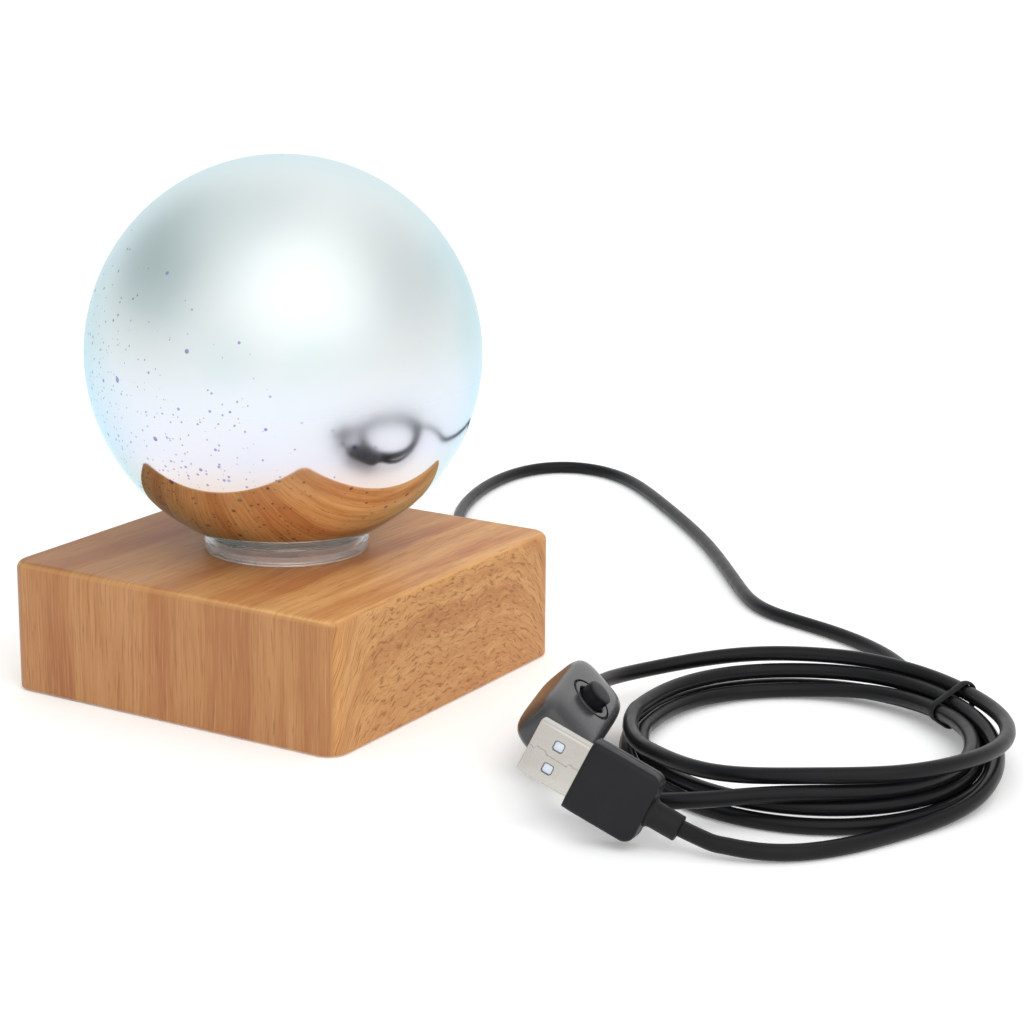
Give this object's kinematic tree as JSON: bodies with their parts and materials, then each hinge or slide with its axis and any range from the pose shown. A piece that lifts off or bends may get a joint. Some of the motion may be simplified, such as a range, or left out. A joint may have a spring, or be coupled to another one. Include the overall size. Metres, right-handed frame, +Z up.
{
  "type": "mirrored globe desk lamp",
  "caption": "Mirror-coated glass globe on a square wooden block, with a clear collar, a USB lead with an inline push switch, and a tied coil of spare lead.",
  "frame": {"origin": "middle of the wooden block's footprint, on the desk", "axes": "+Z up along the globe's axis; -Y out of the block's front face, seen at the left of the picture; +X out of the neighbouring face, towards the switch and the coil; the lead leaves through the rear face, +Y"},
  "size_m": [0.2359, 0.2789, 0.1271],
  "materials": {
    "wood": "printed wood-grain veneer, satin",
    "mirror_glass": "mirror-coated glass with a pearly colour-shifting sheen",
    "clear_plastic": "clear moulded",
    "black_pvc": "semi-gloss cable sheath",
    "black_plastic": "fine satin moulding",
    "graphite_plastic": "satin-gloss moulding",
    "rubber": "matte",
    "nickel_steel": "satin nickel plating",
    "aluminium": "satin",
    "gilt_brass": "polished plating",
    "white_plastic": "satin",
    "board_green": "solder mask",
    "red_insulation": "wire sheath"
  },
  "bodies": {
    "lamp": {"base_block": "wood", "base_cover": "graphite_plastic", "board_screw_1": "nickel_steel", "board_screw_2": "nickel_steel", "capacitor": "aluminium", "circuit_board": "board_green", "collar_ring": "clear_plastic", "controller_chip": "black_plastic", "cord_clamp": "black_plastic", "cord_coil": "black_pvc", "cord_grommet": "rubber", "cord_tie": "rubber", "cover_screw_1": "nickel_steel", "cover_screw_2": "nickel_steel", "cover_screw_3": "nickel_steel", "cover_screw_4": "nickel_steel", "foot_1": "rubber", "foot_2": "rubber", "foot_3": "rubber", "foot_4": "rubber", "glass_globe": "mirror_glass", "lamp_socket": "black_plastic", "lead_connector": "white_plastic", "lead_inner": "black_pvc", "lead_run": "black_pvc", "led_1": "gilt_brass", "led_2": "gilt_brass", "led_3": "gilt_brass", "led_4": "gilt_brass", "led_5": "gilt_brass", "led_6": "gilt_brass", "led_board": "white_plastic", "led_stem": "aluminium", "plug_lead": "black_pvc", "socket_screw_1": "nickel_steel", "socket_screw_2": "nickel_steel", "socket_screw_3": "nickel_steel", "switch_bezel": "black_plastic", "switch_contact_block": "black_plastic", "switch_gland_far": "rubber", "switch_gland_near": "rubber", "switch_in_lead": "black_pvc", "switch_out_lead": "black_pvc", "switch_screw_1": "nickel_steel", "switch_screw_2": "nickel_steel", "switch_shell_bottom": "graphite_plastic", "switch_shell_top": "graphite_plastic", "switch_spring": "nickel_steel", "usb_contact_1": "gilt_brass", "usb_contact_2": "gilt_brass", "usb_contact_3": "gilt_brass", "usb_contact_4": "gilt_brass", "usb_grip": "black_plastic", "usb_shell": "nickel_steel", "usb_strain_relief": "rubber", "usb_tongue": "white_plastic", "wire_negative": "black_pvc", "wire_positive": "red_insulation"},
    "button": {"switch_button": "black_plastic"}
  },
  "joints": [
    {"name": "switch_press", "type": "slide", "parent": "lamp", "child": "button", "axis": [0.697, 0.2216, 0.682], "range_m": [-0.0015, 0], "stiffness_N_per_m": 300, "springref_m": 0.001}
  ]
}
